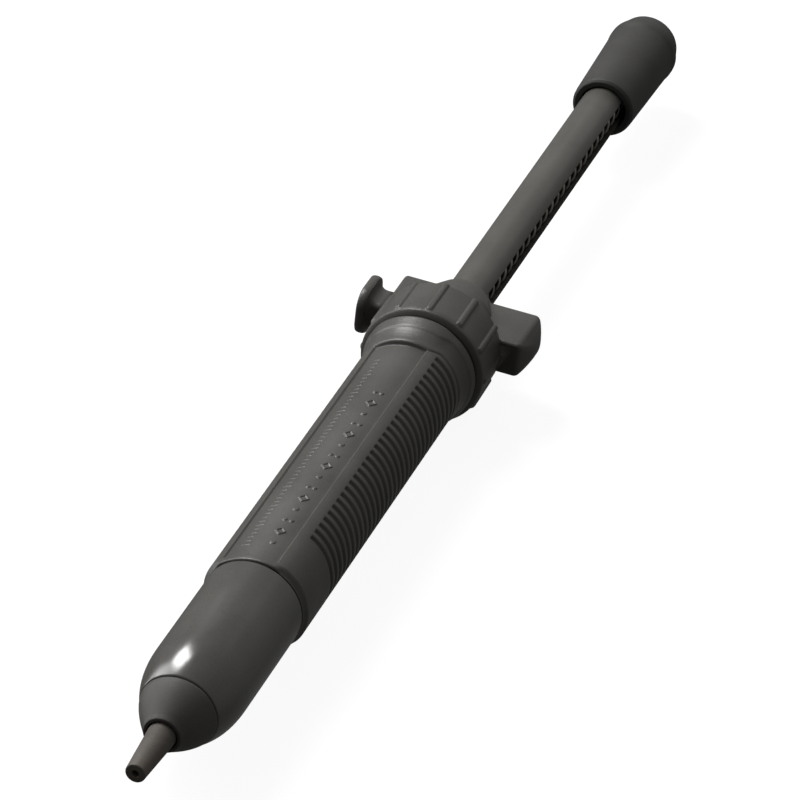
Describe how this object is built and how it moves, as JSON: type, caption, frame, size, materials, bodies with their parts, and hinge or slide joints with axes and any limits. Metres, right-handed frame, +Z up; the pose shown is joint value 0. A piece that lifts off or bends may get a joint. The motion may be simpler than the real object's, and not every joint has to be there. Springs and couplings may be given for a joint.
{
  "type": "desoldering pump",
  "caption": "Spring-driven desoldering pump: tapered nozzle, ribbed grip, cross-bar release button and slotted plunger tube with push knob.",
  "frame": {"origin": "centre of the part's box, at its lowest point, with the tool lying level", "axes": "+Y along the tool from the nozzle to the knob, +X along the crossbar towards its long end, +Z up"},
  "size_m": [0.038, 0.3032, 0.0276],
  "materials": {
    "body_plastic": "fine matte, moulded",
    "barrel_plastic": "satin gloss",
    "knob_plastic": "matte",
    "tube_plastic": "satin",
    "nozzle_plastic": "slightly waxy",
    "seal_rubber": "matte",
    "spring_steel": "drawn wire",
    "inner_plastic": "moulded",
    "brass": "turned"
  },
  "bodies": {
    "body": {"nozzle_tip": "nozzle_plastic", "tip_seal": "seal_rubber", "tip_retainer": "inner_plastic", "nose_cone": "body_plastic", "nose_gasket": "seal_rubber", "barrel": "barrel_plastic", "grip_sleeve": "body_plastic", "rear_seal_ring": "seal_rubber", "bumper_ring": "seal_rubber", "guide_ring": "inner_plastic", "rear_cap": "body_plastic", "trigger_spring": "spring_steel", "spring_stop_pin": "spring_steel", "spring_seat_washer": "spring_steel", "main_spring": "spring_steel"},
    "plunger": {"plunger_tube": "tube_plastic", "tube_plug": "inner_plastic", "knob": "knob_plastic", "piston_carrier": "inner_plastic", "piston_o_ring": "seal_rubber", "piston_washer": "spring_steel", "cleaning_pin": "brass"},
    "trigger": {"trigger_button": "body_plastic", "latch_plate": "spring_steel"}
  },
  "joints": [
    {"name": "plunger_slide", "type": "slide", "parent": "body", "child": "plunger", "axis": [0, -1, 0], "range_m": [0, 0.078], "stiffness_N_per_m": 350, "springref_m": -0.025, "deforming": ["main_spring"]},
    {"name": "trigger_slide", "type": "slide", "parent": "body", "child": "trigger", "axis": [1, 0, 0], "range_m": [0, 0.002], "stiffness_N_per_m": 600, "springref_m": -0.002, "deforming": ["trigger_spring"]}
  ]
}
